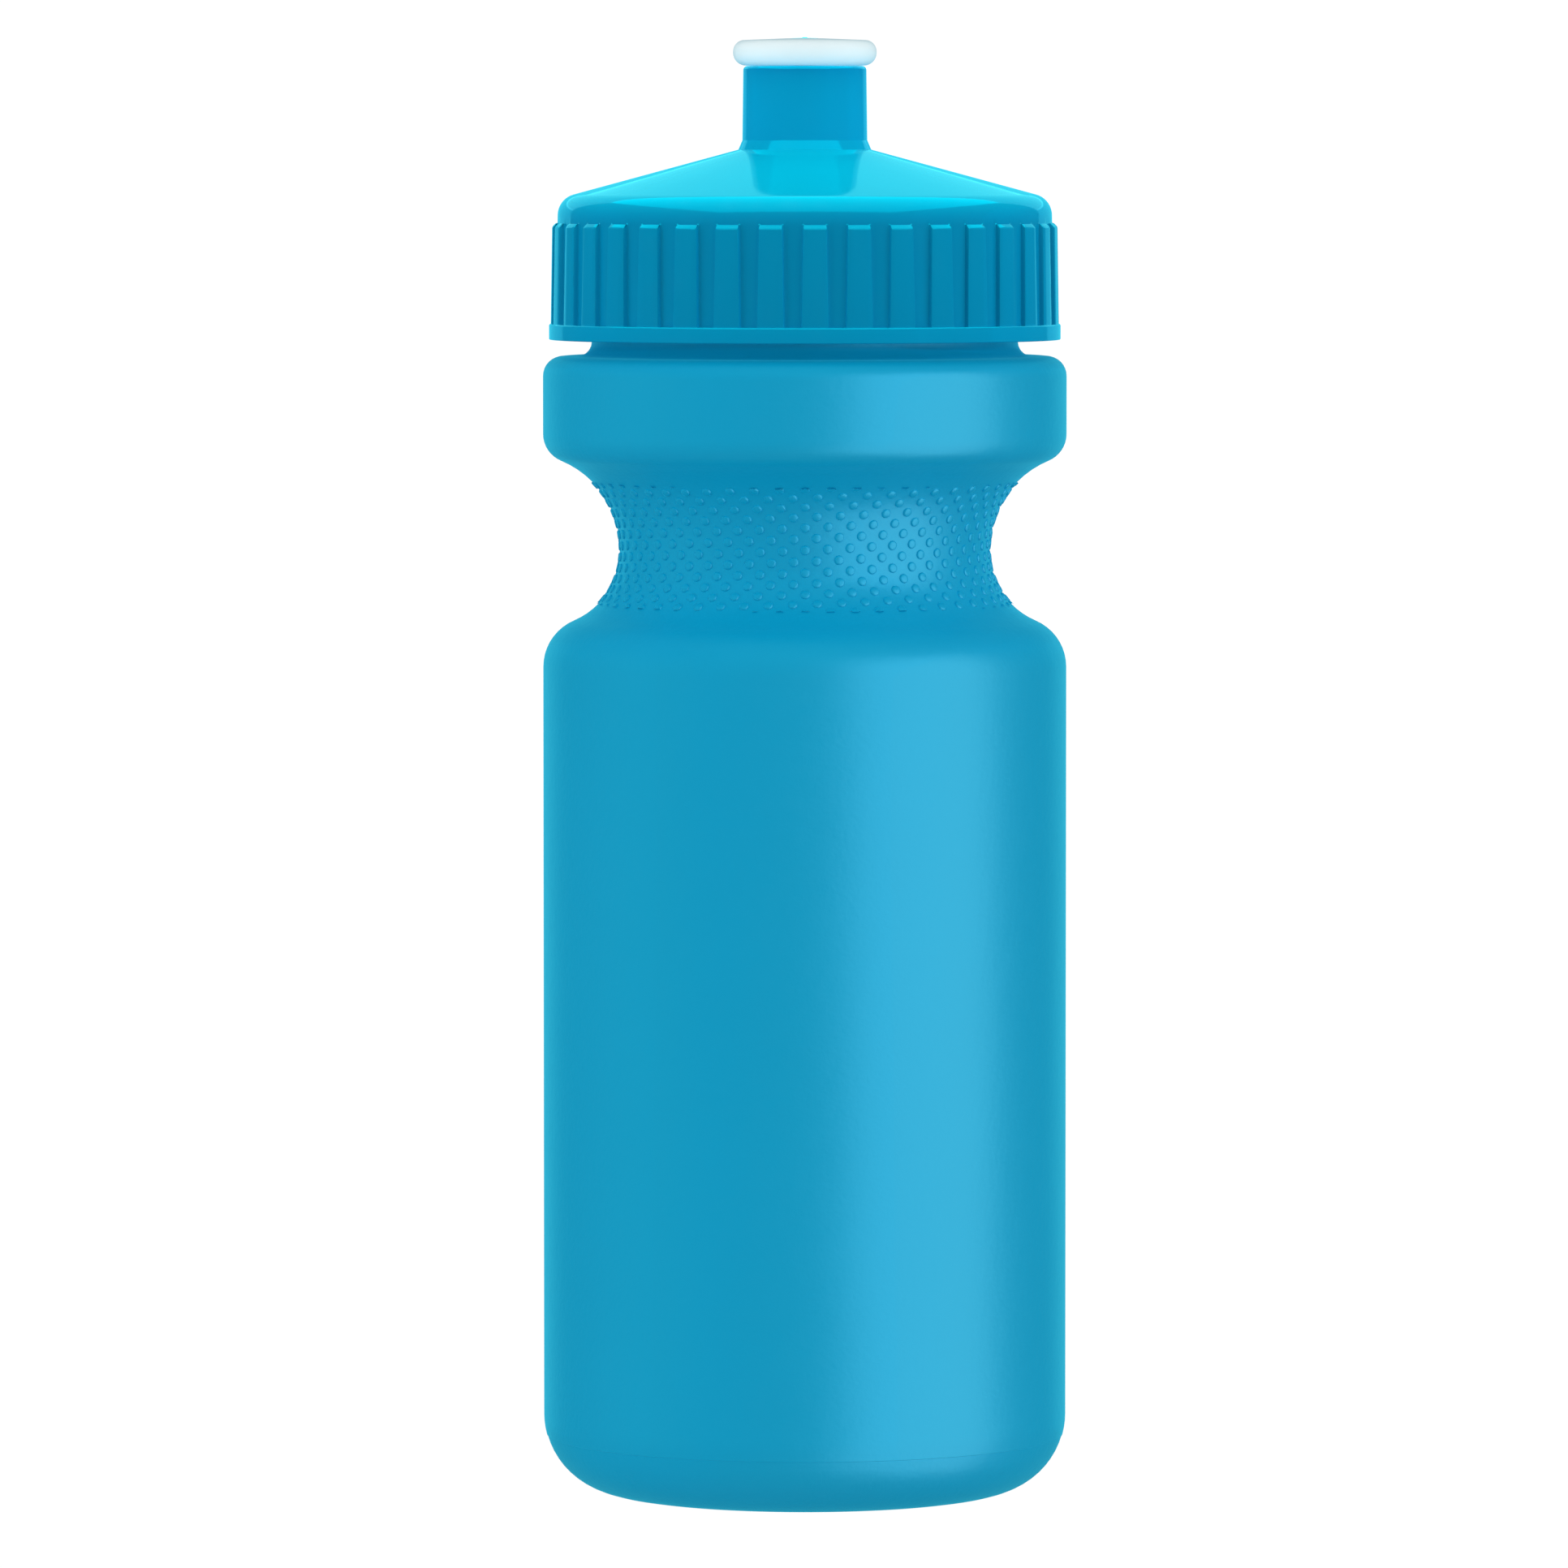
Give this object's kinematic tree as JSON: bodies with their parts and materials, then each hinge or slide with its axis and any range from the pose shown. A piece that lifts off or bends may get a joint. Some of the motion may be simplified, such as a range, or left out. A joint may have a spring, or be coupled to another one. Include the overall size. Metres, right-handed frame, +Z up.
{
  "type": "sports squeeze bottle",
  "caption": "Squeezable plastic drinking bottle with a waisted grip, a ribbed screw lid and a push-pull drinking valve on a short spout.",
  "frame": {"origin": "centre of the base, on the surface that the bottle stands on", "axes": "+Z up along the bottle's axis, out of the spout; -Y towards the front, X across"},
  "size_m": [0.073, 0.073, 0.2033],
  "materials": {
    "bottle_plastic": "satin, fine orange peel",
    "gasket_rubber": "soft, matte",
    "lid_plastic": "moulded gloss",
    "valve_plastic": "milky, semi-gloss"
  },
  "bodies": {
    "bottle": {"bottle_body": "bottle_plastic"},
    "gasket": {"lid_gasket": "gasket_rubber"},
    "lid": {"screw_lid": "lid_plastic"},
    "valve": {"push_pull_valve": "valve_plastic"}
  },
  "joints": [
    {"name": "lid_lift", "type": "slide", "parent": "bottle", "child": "gasket", "axis": [0, 0, 1], "range_m": [0, 0.0201]},
    {"name": "lid_turn", "type": "hinge", "parent": "gasket", "child": "lid", "pos_m": [0, 0, 0.177], "axis": [0, 0, 1], "range_deg": [0, 1440]},
    {"name": "valve_slide", "type": "slide", "parent": "lid", "child": "valve", "axis": [0, 0, 1], "range_m": [0, 0.0064]}
  ],
  "couplings": [
    {"joint": "lid_lift", "follows": "lid_turn", "m_per_rad": 0.00079577}
  ]
}
